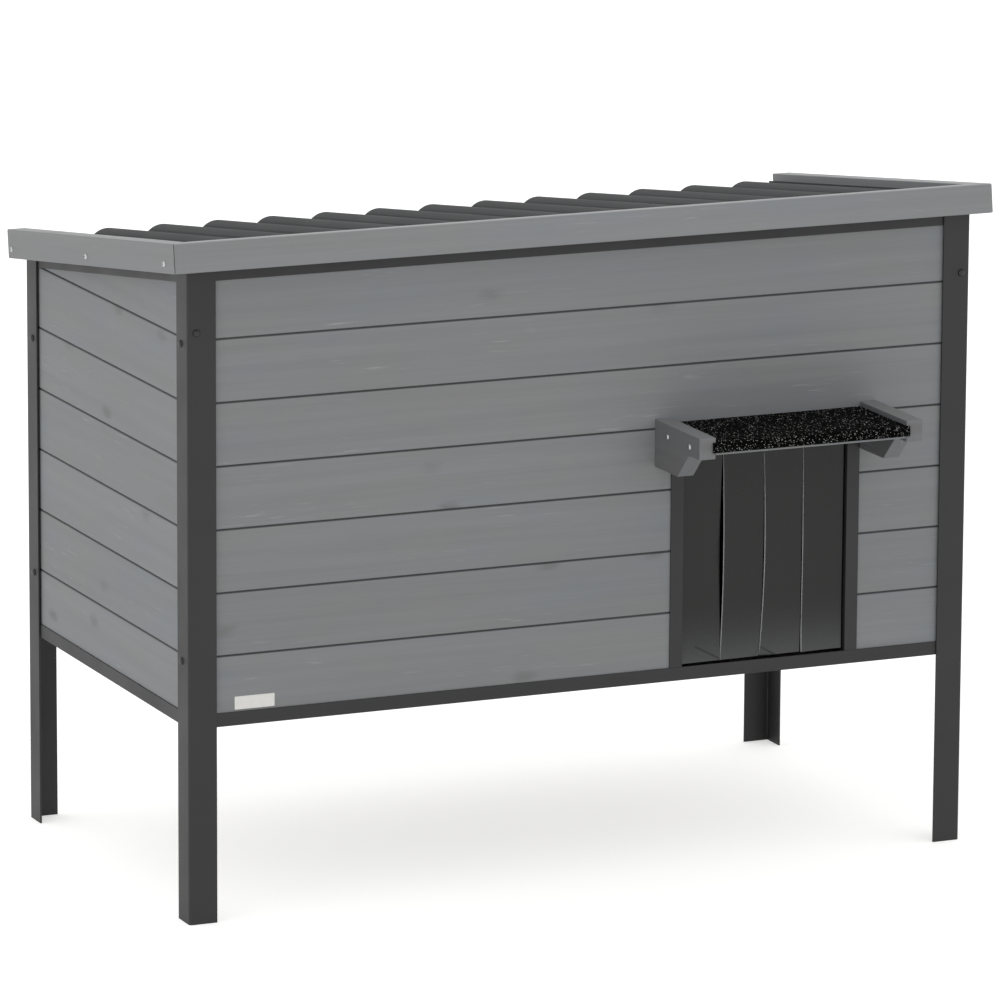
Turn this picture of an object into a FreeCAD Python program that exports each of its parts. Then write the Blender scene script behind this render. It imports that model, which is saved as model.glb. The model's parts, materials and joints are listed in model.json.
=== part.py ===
import FreeCAD, Part
import math
import os
from FreeCAD import Vector

# Outdoor cat house: a boarded cabin in a steel angle frame on four legs, with a slit
# curtain in its doorway, a small awning over it and a hinged corrugated lid.
# Millimetres. +X is the house's right as seen from the front, +Y runs to the rear, +Z is up.
# While it is built, y = 0 is the outer face of the front legs and x = 0 is the middle.

# Cabin and its steel frame
BODY_W = 858.0              # across the outer faces of the legs
BODY_D = 456.0              # front to rear over the outer faces of the legs
CABIN_Z = 200.0             # ground to the underside of the bottom rails
LEG_FLANGE = 30.0
LEG_T = 2.0
LEG_BEND_INNER = 1.0        # inside radius of the folded leg angle
RAIL_T = 1.5                # sheet of the rails and of the door trim
BOTTOM_RAIL_H = 14.0
BOTTOM_RAIL_LEDGE = 22.0
TOP_RAIL_H = 10.0
TOP_RAIL_LEDGE = 20.0
TOP_RAIL_RISE = 5.0         # rail top above the last full board line, at the front face

# Tongue and groove boards, floor and corner posts
BOARD_PITCH = 64.0
FRONT_BOARD_COUNT = 7
REAR_BOARD_COUNT = 6
BOARD_T = 10.0
BOARD_V = 1.5               # chamfer on each outer edge, so that two make the V joint
TONGUE_H = 3.5
TONGUE_T = 3.0
TONGUE_CLEAR = 0.2
BOARD_END_CLEAR = 0.3
FLOOR_T = 6.0
POST_SIZE = 20.0

# Doorway and its steel trim
DOOR_W = 184.0
DOOR_SIDE = 227.0           # middle of the doorway to the outer faces of the right legs
DOOR_BOARD_COUNT = 4
TRIM_W = 14.0
TRIM_RETURN = 18.0          # depth of the flange that lines the doorway

# Slit curtain
STRIP_COUNT = 4
STRIP_T = 2.0
STRIP_GAP = 0.8
STRIP_TOP_GAP = 0.3
STRIP_SILL_GAP = 2.5
CLAMP_T = 2.5
CURTAIN_SCREW_COUNT = 3

# Awning
AWNING_REACH = 105.5        # wall face to the front of the brackets
BRACKET_W = 18.0
BRACKET_H = 49.0
BRACKET_BAR_H = 22.0
BRACKET_FOOT = 54.0         # length of the bracket's lower edge from the wall
BRACKET_COVE_R = 12.0
BRACKET_SIDE_CLEAR = 0.3
BRACKET_ABOVE_HEAD = 10.5
AWNING_BOARD_T = 11.0
AWNING_RECESS = 5.0         # felt below the tops of the brackets
FELT_T = 2.0
FELT_FLAP_H = 10.5
FELT_LAP = 3.4              # flap past the inner face of each bracket
AWNING_SCREW_REAR = 30.5    # from the wall face
AWNING_SCREW_FRONT = 23.0   # from the front of the bracket

# Lid, square to the slope of the roof
LID_REST_GAP = 0.3
LID_SIDE_OVERHANG = 18.4
LID_FRONT_OVERHANG = 14.5
LID_REAR_OVERHANG = 1.0
FASCIA_H = 30.0
FASCIA_T = 20.0
BATTEN_W = 16.0
BATTEN_T = 14.0
FASCIA_SCREW_H = 9.5        # above the underside of the lid
WAVE_COUNT = 14
WAVE_DEPTH = 8.5
WAVE_FLANK = 45.0           # degrees, where a crest meets the bend of a valley
VALLEY_R = 5.6
SHEET_T = 1.2
SHEET_EDGE_H = 7.6          # turned-up edge beside a fascia, above the flat valleys
SHEET_EDGE_CLEAR = 0.8
SHEET_REAR_OVERHANG = 5.0

# Lid hinges
HINGE_SIDE = 139.0          # middle of a hinge to the outer faces of the legs beside it
HINGE_L = 50.0
HINGE_LEAF_T = 1.5
HINGE_LEAF_H = 10.0
KNUCKLE_R = 3.0
KNUCKLE_GAP = 0.3
HINGE_CLEAR = 0.3
PIN_R = 1.5
PIN_CLEAR = 0.05

# Bolts and screws
BOLT_R = 2.0
BOLT_HEAD_R = 4.2
BOLT_HEAD_H = 2.6
BOLT_L = 22.0
FRONT_BOLT_INSET = 9.5
FRONT_BOLT_RISE = 8.5       # above the last full board line of the rear wall
REAR_BOLT_RISE = 8.5        # above the joint below the rear wall's top board
SIDE_BOLT_INSET = 18.0
SIDE_BOLT_DROP = 4.5        # below a board joint
REAR_LEG_BOLT_DROP = 12.5
SCREW_R = 1.8
SCREW_HEAD_R = 3.4
SCREW_HEAD_H = 1.8
SCREW_BITE = 14.0           # length in the second piece of wood
HOLE_CLEAR = 0.1
HEAD_SIDES = 12
HEAD_CROWN = 0.7            # top of a pan head over its base
SHANK_SIDES = 6

# Sizes that follow
HALF_W = BODY_W / 2
DOOR_X = HALF_W - DOOR_SIDE                 # middle of the doorway
HINGE_X = HALF_W - HINGE_SIDE
FACE = LEG_T + RAIL_T                       # depth of the board faces behind the leg faces
BACK = FACE + BOARD_T                       # depth of the inner faces of the walls
FLOOR_Z = CABIN_Z + RAIL_T
BOARD_Z = FLOOR_Z + FLOOR_T
SILL_Z = CABIN_Z + BOTTOM_RAIL_H
HEAD_TOP = BOARD_Z + DOOR_BOARD_COUNT * BOARD_PITCH
HEAD_BOTTOM = HEAD_TOP - TRIM_W
DOOR_HALF = DOOR_W / 2
RETURN_Y = LEG_T + TRIM_RETURN
ROOF_DROP = (FRONT_BOARD_COUNT - REAR_BOARD_COUNT) * BOARD_PITCH
SLOPE = math.atan2(ROOF_DROP, BODY_D)
EAVE_Z = BOARD_Z + FRONT_BOARD_COUNT * BOARD_PITCH + TOP_RAIL_RISE
STRIP_W = (DOOR_W - (STRIP_COUNT + 1) * STRIP_GAP) / STRIP_COUNT
STRIP_Y = FACE + CLAMP_T + STRIP_T / 2
STRIP_PIVOT_Z = HEAD_BOTTOM - STRIP_TOP_GAP - STRIP_T / 2
STRIP_BOTTOM_Z = SILL_Z + STRIP_SILL_GAP
BRACKET_TOP = HEAD_TOP + BRACKET_ABOVE_HEAD
BRACKET_INNER = DOOR_HALF + TRIM_W + BRACKET_SIDE_CLEAR
AWNING_FRONT = FACE - AWNING_REACH
AWNING_BOARD_TOP = BRACKET_TOP - AWNING_RECESS - FELT_T
LID_HALF = HALF_W + LID_SIDE_OVERHANG
LID_INNER = LID_HALF - FASCIA_T
LID_FRONT = -LID_FRONT_OVERHANG
LID_REAR = BODY_D / math.cos(SLOPE) + LID_REAR_OVERHANG
HINGE_Y = BODY_D - LEG_T + HINGE_CLEAR + KNUCKLE_R
HINGE_V = (HINGE_Y - LID_REST_GAP * math.sin(SLOPE)) / math.cos(SLOPE)
HINGE_Z = EAVE_Z + LID_REST_GAP * math.cos(SLOPE) - HINGE_V * math.sin(SLOPE)
REAR_BATTEN_V = HINGE_V - KNUCKLE_R - HINGE_CLEAR


def roof_z(y):
    """Height of the tops of the top rails at a depth y."""
    return EAVE_Z - y * math.tan(SLOPE)


def box(x0, x1, y0, y1, z0, z1):
    return Part.makeBox(x1 - x0, y1 - y0, z1 - z0, Vector(x0, y0, z0))


def prism(points, direction):
    """A closed outline of Vectors, pushed along a direction."""
    return Part.Face(Part.makePolygon(points + points[:1])).extrude(direction)


def prism_x(points, x0, x1):
    return prism([Vector(x0, y, z) for y, z in points], Vector(x1 - x0, 0, 0))


def prism_y(points, y0, y1):
    return prism([Vector(x, y0, z) for x, z in points], Vector(0, y1 - y0, 0))


def prism_z(points, z0, z1):
    return prism([Vector(x, y, z0) for x, y in points], Vector(0, 0, z1 - z0))


def rod(start, direction, radius, length):
    return Part.makeCylinder(radius, length, start, direction)


def mirrored(shape):
    """The same piece on the other side of the house."""
    return shape.mirror(Vector(0, 0, 0), Vector(1, 0, 0))


def at_rear(shape):
    """The same piece turned front to rear about the middle of the cabin."""
    return shape.mirror(Vector(0, BODY_D / 2, 0), Vector(0, 1, 0))


def on_roof(shape, lift=0.0):
    """Lays a piece made flat (x, along the slope, up) on the plane of the top rails."""
    laid = shape.copy()
    laid.translate(Vector(0, 0, lift))
    laid.rotate(Vector(0, 0, 0), Vector(1, 0, 0), -math.degrees(SLOPE))
    laid.translate(Vector(0, 0, EAVE_Z))
    return laid


def on_lid(shape):
    return on_roof(shape, LID_REST_GAP)


def under_roof(shape, depth):
    """Cuts a piece off at a depth below the tops of the top rails."""
    reach = BODY_W + BODY_D
    above = box(-reach, reach, -reach, reach, -depth, reach)
    return shape.cut(on_roof(above))


def drilled(shape, holes):
    """Cuts those holes that reach the piece."""
    for bore in holes:
        if shape.BoundBox.intersect(bore.BoundBox):
            shape = shape.cut(bore)
    return shape


def group(solids):
    """Several like solids in one node."""
    return Part.makeCompound([solid for shape in solids for solid in shape.Solids])


# Bolts through the leg angles

def bolt_places():
    """Start on the outer face, and direction, of each bolt on the left half of the house."""
    first_joint = BOARD_Z + BOARD_PITCH
    rear_top_joint = BOARD_Z + (REAR_BOARD_COUNT - 1) * BOARD_PITCH
    gable_joint = BOARD_Z + REAR_BOARD_COUNT * BOARD_PITCH
    x_bolt = -HALF_W + FRONT_BOLT_INSET
    y_rear = BODY_D - SIDE_BOLT_INSET
    side = Vector(1, 0, 0)
    return [
        (Vector(x_bolt, 0, gable_joint + FRONT_BOLT_RISE), Vector(0, 1, 0)),
        (Vector(x_bolt, BODY_D, rear_top_joint + REAR_BOLT_RISE), Vector(0, -1, 0)),
        (Vector(-HALF_W, SIDE_BOLT_INSET, first_joint - SIDE_BOLT_DROP), side),
        (Vector(-HALF_W, SIDE_BOLT_INSET, gable_joint - SIDE_BOLT_DROP), side),
        (Vector(-HALF_W, y_rear, first_joint - SIDE_BOLT_DROP), side),
        (Vector(-HALF_W, y_rear, rear_top_joint - REAR_LEG_BOLT_DROP), side),
    ]


def many_sided(radius, z, sides):
    """A closed outline on a circle about Z."""
    turn = 2 * math.pi / sides
    corners = [Vector(radius * math.cos(i * turn), radius * math.sin(i * turn), z) for i in range(sides)]
    return Part.makePolygon(corners + corners[:1])


def aimed(shape, start, direction):
    """Turns a piece made along +Z to a direction and moves it to its start."""
    placed = shape.copy()
    placed.Placement = FreeCAD.Placement(start, FreeCAD.Rotation(Vector(0, 0, 1), direction))
    return placed


def shank(radius, length):
    """A fastener's shank, or the hole for one, with a few flat sides, along +Z."""
    return Part.Face(many_sided(radius, 0, SHANK_SIDES)).extrude(Vector(0, 0, length))


def hole(start, direction, radius, length):
    return aimed(shank(radius + HOLE_CLEAR, length + HOLE_CLEAR), start, direction)


def pan_bolt(start, direction, radius, length, head_r, head_h):
    """A shank with a pan head that stands on the surface it starts from."""
    base = many_sided(head_r, 0, HEAD_SIDES)
    crown = many_sided(head_r * HEAD_CROWN, -head_h, HEAD_SIDES)
    head = Part.makeLoft([base, crown], True, True)
    return aimed(head.fuse(shank(radius, length)), start, direction)


def leg_bolts():
    half = [pan_bolt(p, d, BOLT_R, BOLT_L, BOLT_HEAD_R, BOLT_HEAD_H) for p, d in bolt_places()]
    return half + [mirrored(bolt) for bolt in half]


def leg_bolt_holes():
    half = [hole(p, d, BOLT_R, BOLT_L) for p, d in bolt_places()]
    return half + [mirrored(bore) for bore in half]


BOLT_HOLES = leg_bolt_holes()


# Steel frame

def leg_front_left():
    """Folded angle from the ground to the roof plane, with a rounded fold."""
    outer_r = LEG_BEND_INNER + LEG_T
    outline = [(0, 0), (LEG_FLANGE, 0), (LEG_FLANGE, LEG_T), (LEG_T, LEG_T), (LEG_T, LEG_FLANGE), (0, LEG_FLANGE)]
    angle = prism_z([(x - HALF_W, y) for x, y in outline], 0, EAVE_Z)
    for x, y, radius in ((0, 0, outer_r), (LEG_T, LEG_T, LEG_BEND_INNER)):
        corner = Vector(x - HALF_W, y, EAVE_Z / 2)
        fold = [edge for edge in angle.Edges if (edge.CenterOfMass - corner).Length < 1e-6]
        angle = angle.makeFillet(radius, fold)
    return angle


def bottom_rail_front():
    ledge_end = LEG_T + BOTTOM_RAIL_LEDGE
    outline = [(LEG_T, CABIN_Z), (ledge_end, CABIN_Z), (ledge_end, FLOOR_Z), (FACE, FLOOR_Z)]
    outline += [(FACE, SILL_Z), (LEG_T, SILL_Z)]
    return prism_x(outline, -HALF_W + FACE, HALF_W - FACE)


def bottom_rail_left():
    """Its ledge is coped back to meet the ledges of the front and rear rails."""
    cope = LEG_T + BOTTOM_RAIL_LEDGE
    face = box(-HALF_W + LEG_T, -HALF_W + FACE, FACE, BODY_D - FACE, CABIN_Z, SILL_Z)
    ledge = box(-HALF_W + LEG_T, -HALF_W + cope, cope, BODY_D - cope, CABIN_Z, FLOOR_Z)
    return face.fuse(ledge).removeSplitter()


def cross_top_rail(y_face, y_ledge):
    """Rail across the house, its ledge bent to the slope of the roof."""
    inward = 1 if y_ledge > y_face else -1
    y_back = y_face + inward * RAIL_T
    drop = RAIL_T / math.cos(SLOPE)
    low = roof_z(y_face) - TOP_RAIL_H
    outline = [(y_face, roof_z(y_face)), (y_ledge, roof_z(y_ledge)), (y_ledge, roof_z(y_ledge) - drop)]
    outline += [(y_back, roof_z(y_back) - drop), (y_back, low), (y_face, low)]
    return prism_x(outline, -HALF_W + FACE, HALF_W - FACE)


def top_rail_left():
    """Sloping rail between the front and rear rails, its ledge coped at both ends."""
    cope = LEG_T + TOP_RAIL_LEDGE
    outer = -HALF_W + LEG_T
    length = BODY_D / math.cos(SLOPE)
    face = box(outer, outer + RAIL_T, 0, length, -TOP_RAIL_H, 0)
    ledge = box(outer, outer + TOP_RAIL_LEDGE, 0, length, -RAIL_T, 0)
    rooms = (box(-HALF_W, 0, FACE, BODY_D - FACE, 0, EAVE_Z), box(-HALF_W, 0, cope, BODY_D - cope, 0, EAVE_Z))
    face = on_roof(face).common(rooms[0])
    ledge = on_roof(ledge).common(rooms[1])
    return face.fuse(ledge).removeSplitter()


# Boarding

def board_outline(level, bottom, top):
    """Section of a board as (depth from the outer face, height), with its tongue, groove and V edges."""
    z0 = BOARD_Z + level * BOARD_PITCH
    z1 = z0 + BOARD_PITCH
    mid = BOARD_T / 2
    groove = TONGUE_T / 2 + TONGUE_CLEAR
    tongue = TONGUE_T / 2
    outline = [(0, z0), (BOARD_T, z0)]
    if bottom == "grooved":
        roof = z0 + TONGUE_H + TONGUE_CLEAR
        outline = [(0, z0 + BOARD_V), (BOARD_V, z0), (mid - groove, z0), (mid - groove, roof)]
        outline += [(mid + groove, roof), (mid + groove, z0), (BOARD_T, z0)]
    if top == "tongued":
        tip = z1 + TONGUE_H
        outline += [(BOARD_T, z1), (mid + tongue, z1), (mid + tongue, tip), (mid - tongue, tip)]
        outline += [(mid - tongue, z1), (BOARD_V, z1), (0, z1 - BOARD_V)]
    else:
        spare = z1 + BOARD_PITCH
        outline += [(BOARD_T, spare), (0, spare)]
    return outline


def board(level, top_level, run):
    """One board: run takes its outline and makes the solid; a top board is cut to the roof slope."""
    bottom = "grooved" if level > 0 else "plain"
    top = "tongued" if level < top_level else "cut"
    solid = run(board_outline(level, bottom, top))
    if top == "cut":
        solid = under_roof(solid, RAIL_T)
    return drilled(solid, BOLT_HOLES)


def front_board(level, x0, x1):
    def run(outline):
        return prism_x([(FACE + t, z) for t, z in outline], x0, x1)
    return board(level, FRONT_BOARD_COUNT - 1, run)


def rear_board(level):
    def run(outline):
        return prism_x([(BODY_D - FACE - t, z) for t, z in outline], -HALF_W + FACE, HALF_W - FACE)
    return board(level, REAR_BOARD_COUNT - 1, run)


def left_board(level):
    """Side boards butt between the front and rear boards; those above the rear wall are the gable."""
    def run(outline):
        return prism_y([(-HALF_W + FACE + t, z) for t, z in outline], BACK, BODY_D - BACK)
    return board(level, FRONT_BOARD_COUNT - 1, run)


def corner_post():
    """Inside corner post on the floor, cut to the roof slope."""
    x0 = -HALF_W + BACK
    post = box(x0, x0 + POST_SIZE, BACK, BACK + POST_SIZE, BOARD_Z, EAVE_Z)
    return post


# Doorway

def door_jamb_right():
    """Angle over the edge of the boards: the lining flange stands on the floor, the face on the rail."""
    inner = DOOR_X + DOOR_HALF
    lining = box(inner, inner + RAIL_T, FACE, RETURN_Y, BOARD_Z, HEAD_TOP)
    face = box(inner, inner + TRIM_W, LEG_T, FACE, SILL_Z, HEAD_TOP)
    return face.fuse(lining).removeSplitter()


def door_head():
    outline = [(LEG_T, HEAD_BOTTOM), (FACE, HEAD_BOTTOM), (FACE, HEAD_TOP - RAIL_T)]
    outline += [(RETURN_Y, HEAD_TOP - RAIL_T), (RETURN_Y, HEAD_TOP), (LEG_T, HEAD_TOP)]
    return prism_x(outline, DOOR_X - DOOR_HALF, DOOR_X + DOOR_HALF)


def across_door(shape):
    """The same piece on the other side of the doorway."""
    return shape.mirror(Vector(DOOR_X, 0, 0), Vector(1, 0, 0))


# Slit curtain

def curtain_layer(y0, y1):
    """A layer of the clamped head of the curtain, under the door head."""
    reach = DOOR_HALF - STRIP_GAP
    return box(DOOR_X - reach, DOOR_X + reach, y0, y1, HEAD_BOTTOM, HEAD_TOP - RAIL_T)


def curtain_screw_starts():
    step = DOOR_W / CURTAIN_SCREW_COUNT
    z = (HEAD_BOTTOM + HEAD_TOP - RAIL_T) / 2
    first = DOOR_X - DOOR_HALF + step / 2
    return [Vector(first + i * step, RETURN_Y, z) for i in range(CURTAIN_SCREW_COUNT)]


def door_strip(index):
    """A flat strip that hangs from a round top edge, its turning axis."""
    x0 = DOOR_X - DOOR_HALF + STRIP_GAP + index * (STRIP_W + STRIP_GAP)
    near = STRIP_Y - STRIP_T / 2
    far = STRIP_Y + STRIP_T / 2
    corners = [Vector(x0, y, z) for y, z in (
        (near, STRIP_PIVOT_Z), (near, STRIP_BOTTOM_Z), (far, STRIP_BOTTOM_Z), (far, STRIP_PIVOT_Z))]
    crown = Vector(x0, STRIP_Y, STRIP_PIVOT_Z + STRIP_T / 2)
    sides = Part.makePolygon(corners).Edges
    top = Part.Arc(corners[-1], crown, corners[0]).toShape()
    return Part.Face(Part.Wire(sides + [top])).extrude(Vector(STRIP_W, 0, 0))


# Awning

def awning_screw_places():
    y_rear = FACE - AWNING_SCREW_REAR
    y_front = AWNING_FRONT + AWNING_SCREW_FRONT
    z = AWNING_BOARD_TOP - AWNING_BOARD_T / 2
    x = DOOR_X + BRACKET_INNER + BRACKET_W
    return [(Vector(x, y, z), Vector(-1, 0, 0)) for y in (y_rear, y_front)]


def awning_screw_holes():
    half = [hole(p, d, SCREW_R, BRACKET_W + SCREW_BITE) for p, d in awning_screw_places()]
    return half + [across_door(bore) for bore in half]


def awning_bracket_right():
    """One piece of wood: a bar whose lower corner runs down a coved 45 degree slope to a foot at the wall."""
    bar_z = BRACKET_TOP - BRACKET_BAR_H
    foot_z = BRACKET_TOP - BRACKET_H
    foot_y = FACE - BRACKET_FOOT
    slope_top = foot_y - (bar_z - foot_z)
    outline = [(FACE, BRACKET_TOP), (AWNING_FRONT, BRACKET_TOP), (AWNING_FRONT, bar_z)]
    outline += [(slope_top, bar_z), (foot_y, foot_z), (FACE, foot_z)]
    x0 = DOOR_X + BRACKET_INNER
    bracket = prism_x(outline, x0, x0 + BRACKET_W)
    corner = Vector(x0 + BRACKET_W / 2, slope_top, bar_z)
    cove = [edge for edge in bracket.Edges if (edge.CenterOfMass - corner).Length < 1e-6]
    return drilled(bracket.makeFillet(BRACKET_COVE_R, cove), awning_screw_holes())


def awning_board():
    """Between the brackets, with its rear edge against the door head."""
    low = AWNING_BOARD_TOP - AWNING_BOARD_T
    x0, x1 = DOOR_X - BRACKET_INNER, DOOR_X + BRACKET_INNER
    return drilled(box(x0, x1, AWNING_FRONT, LEG_T, low, AWNING_BOARD_TOP), awning_screw_holes())


def awning_felt():
    """Covers the board between the brackets and turns down over its front edge."""
    top = AWNING_BOARD_TOP + FELT_T
    x0, x1 = DOOR_X - BRACKET_INNER, DOOR_X + BRACKET_INNER
    cover = box(x0, x1, AWNING_FRONT - FELT_T, FACE, AWNING_BOARD_TOP, top)
    flap = box(x0 - FELT_LAP, x1 + FELT_LAP, AWNING_FRONT - FELT_T, AWNING_FRONT, top - FELT_FLAP_H, top)
    return cover.fuse(flap).removeSplitter()


# Lid

def fascia_screw_places():
    """Starts on the outer face of the left fascia, in the flat lid: one into each batten end."""
    front = LID_FRONT + FASCIA_T + BATTEN_W / 2
    rear = REAR_BATTEN_V - BATTEN_W / 2
    stations = (front, (front + rear) / 2, rear)
    return [(Vector(-LID_HALF, v, FASCIA_SCREW_H), Vector(1, 0, 0)) for v in stations]


def fascia_screw_holes():
    half = [hole(p, d, SCREW_R, FASCIA_T + SCREW_BITE) for p, d in fascia_screw_places()]
    return half + [mirrored(bore) for bore in half]


def fascia_front():
    """Mitred at both ends."""
    v_in = LID_FRONT + FASCIA_T
    outline = [(-LID_HALF, LID_FRONT), (LID_HALF, LID_FRONT), (LID_INNER, v_in), (-LID_INNER, v_in)]
    return prism_z(outline, 0, FASCIA_H)


def fascia_left():
    """Mitred at the front and square at the open rear."""
    v_in = LID_FRONT + FASCIA_T
    outline = [(-LID_HALF, LID_FRONT), (-LID_INNER, v_in), (-LID_INNER, LID_REAR), (-LID_HALF, LID_REAR)]
    return drilled(prism_z(outline, 0, FASCIA_H), fascia_screw_holes())


def lid_batten(middle_v):
    batten = box(-LID_INNER, LID_INNER, middle_v - BATTEN_W / 2, middle_v + BATTEN_W / 2, 0, BATTEN_T)
    return drilled(batten, fascia_screw_holes())


def sheet_line(offset):
    """Round crests, flat valleys and turned-up edges from left to right, at an offset from the middle."""
    half = LID_INNER - SHEET_EDGE_CLEAR
    pitch = 2 * half / WAVE_COUNT
    turn = math.radians(WAVE_FLANK)
    crest_r = WAVE_DEPTH / (1 - math.cos(turn)) - VALLEY_R
    reach = (crest_r + VALLEY_R) * math.sin(turn)   # middle of a crest to the flat of a valley
    valley = BATTEN_T + SHEET_T / 2
    edge_x = half - SHEET_T / 2
    bend_x = edge_x - VALLEY_R
    down, up = -math.pi / 2, math.pi / 2

    def arc(x, w, r, start, end):
        angles = (start, (start + end) / 2, end)
        return Part.Arc(*[Vector(x + r * math.cos(a), 0, w + r * math.sin(a)) for a in angles]).toShape()

    def bend(x, start, end):
        return arc(x, valley + VALLEY_R, VALLEY_R - offset, start, end)

    def flat(x0, x1):
        return Part.makeLine(Vector(x0, 0, valley + offset), Vector(x1, 0, valley + offset))

    def edge(x, w0, w1):
        return Part.makeLine(Vector(x, 0, w0), Vector(x, 0, w1))

    top, foot = valley + SHEET_EDGE_H, valley + VALLEY_R
    line = [edge(offset - edge_x, top, foot), bend(-bend_x, -math.pi, down)]
    x = -bend_x
    for wave in range(WAVE_COUNT):
        crest_x = -half + (wave + 0.5) * pitch
        line += [flat(x, crest_x - reach), bend(crest_x - reach, down, down + turn),
                 arc(crest_x, valley + WAVE_DEPTH - crest_r, crest_r + offset, up + turn, up - turn),
                 bend(crest_x + reach, down - turn, down)]
        x = crest_x + reach
    return line + [flat(x, bend_x), bend(bend_x, down, 0), edge(edge_x - offset, foot, top)]


def roof_sheet():
    """Corrugated sheet lying on the battens, open at the rear where it runs past them."""
    upper = sheet_line(SHEET_T / 2)
    lower = sheet_line(-SHEET_T / 2)
    ends = []
    for first, second in ((upper[0].firstVertex(True), lower[0].firstVertex(True)),
                          (upper[-1].lastVertex(True), lower[-1].lastVertex(True))):
        ends.append(Part.makeLine(first.Point, second.Point))
    outline = Part.Wire(Part.__sortEdges__(upper + lower + ends))
    v0 = LID_FRONT + FASCIA_T + SHEET_EDGE_CLEAR
    sheet = Part.Face(outline).extrude(Vector(0, LID_REAR + SHEET_REAR_OVERHANG - v0, 0))
    sheet.translate(Vector(0, v0, 0))
    return sheet


# Lid hinges: flat butt hinges behind, one leaf on the rear rail and one on the rear batten

def knuckle(x0, length):
    """A piece of the barrel, its bore along X at the origin."""
    start = Vector(x0, 0, 0)
    tube = rod(start, Vector(1, 0, 0), KNUCKLE_R, length)
    return tube.cut(rod(start, Vector(1, 0, 0), PIN_R + PIN_CLEAR, length))


def hinge_leaf(side, knuckles, others):
    """A leaf that rises (side 1) or hangs (side -1) from its knuckles and clears the other leaf's."""
    front = -KNUCKLE_R - HINGE_CLEAR
    z0, z1 = sorted((0.0, side * HINGE_LEAF_H))
    leaf = box(-HINGE_L / 2, HINGE_L / 2, front, front + HINGE_LEAF_T, z0, z1)
    room = KNUCKLE_R + HINGE_CLEAR
    for x0, length in others:
        leaf = leaf.cut(box(x0 - KNUCKLE_GAP, x0 + length + KNUCKLE_GAP, front, room, -room, room))
    bore = rod(Vector(-HINGE_L / 2, 0, 0), Vector(1, 0, 0), PIN_R + PIN_CLEAR, HINGE_L)
    for x0, length in knuckles:
        leaf = leaf.fuse(knuckle(x0, length))
    return leaf.cut(bore).removeSplitter()


def hinge_parts():
    """Frame leaf, lid leaf and pin about an axis along X at the origin."""
    third = HINGE_L / 3
    middle = [(-third / 2, third)]
    outer_l = third - KNUCKLE_GAP
    outer = [(-HINGE_L / 2, outer_l), (HINGE_L / 2 - outer_l, outer_l)]
    pin = rod(Vector(-HINGE_L / 2, 0, 0), Vector(1, 0, 0), PIN_R, HINGE_L)
    return hinge_leaf(-1, outer, middle), hinge_leaf(1, middle, outer), pin


def at_hinges(shape, tilt):
    """The piece at both hinges; what is on the lid is tilted with it."""
    placed = []
    for x in (-HINGE_X, HINGE_X):
        copy = shape.copy()
        if tilt:
            copy.rotate(Vector(0, 0, 0), Vector(1, 0, 0), -math.degrees(SLOPE))
        copy.translate(Vector(x, HINGE_Y, HINGE_Z))
        placed.append(copy)
    return placed


# The nodes

def frame_nodes():
    nodes = {}
    front = drilled(under_roof(leg_front_left(), 0), BOLT_HOLES)
    rear = drilled(under_roof(at_rear(leg_front_left()), 0), BOLT_HOLES)
    for name, left in (("leg_front", front), ("leg_rear", rear)):
        nodes[name + "_left"] = left
        nodes[name + "_right"] = mirrored(left)
    nodes["bottom_rail_front"] = bottom_rail_front()
    nodes["bottom_rail_rear"] = at_rear(bottom_rail_front())
    nodes["bottom_rail_left"] = bottom_rail_left()
    nodes["bottom_rail_right"] = mirrored(bottom_rail_left())
    nodes["top_rail_front"] = cross_top_rail(LEG_T, LEG_T + TOP_RAIL_LEDGE)
    nodes["top_rail_rear"] = cross_top_rail(BODY_D - LEG_T, BODY_D - LEG_T - TOP_RAIL_LEDGE)
    nodes["top_rail_left"] = top_rail_left()
    nodes["top_rail_right"] = mirrored(top_rail_left())
    nodes["leg_bolts"] = group(leg_bolts())
    return nodes


def wall_nodes():
    nodes = {}
    nodes["floor_panel"] = box(-HALF_W + FACE, HALF_W - FACE, FACE, BODY_D - FACE, FLOOR_Z, BOARD_Z)
    end = HALF_W - FACE
    cut = DOOR_HALF + RAIL_T + BOARD_END_CLEAR
    doorway = range(DOOR_BOARD_COUNT)
    nodes["front_boards_left_of_door"] = group([front_board(i, -end, DOOR_X - cut) for i in doorway])
    nodes["front_boards_right_of_door"] = group([front_board(i, DOOR_X + cut, end) for i in doorway])
    for level in range(DOOR_BOARD_COUNT, FRONT_BOARD_COUNT):
        nodes["front_board_%d" % (level + 1)] = front_board(level, -end, end)
    side = group([left_board(i) for i in range(REAR_BOARD_COUNT)])
    gable = group([left_board(i) for i in range(REAR_BOARD_COUNT, FRONT_BOARD_COUNT)])
    nodes["left_wall_boards"] = side
    nodes["left_gable_board"] = gable
    nodes["right_wall_boards"] = mirrored(side)
    nodes["right_gable_board"] = mirrored(gable)
    nodes["rear_wall_boards"] = group([rear_board(i) for i in range(REAR_BOARD_COUNT)])
    for name, post in (("front", corner_post()), ("rear", at_rear(corner_post()))):
        left = drilled(under_roof(post, RAIL_T), BOLT_HOLES)
        nodes["corner_post_%s_left" % name] = left
        nodes["corner_post_%s_right" % name] = mirrored(left)
    return nodes


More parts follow.
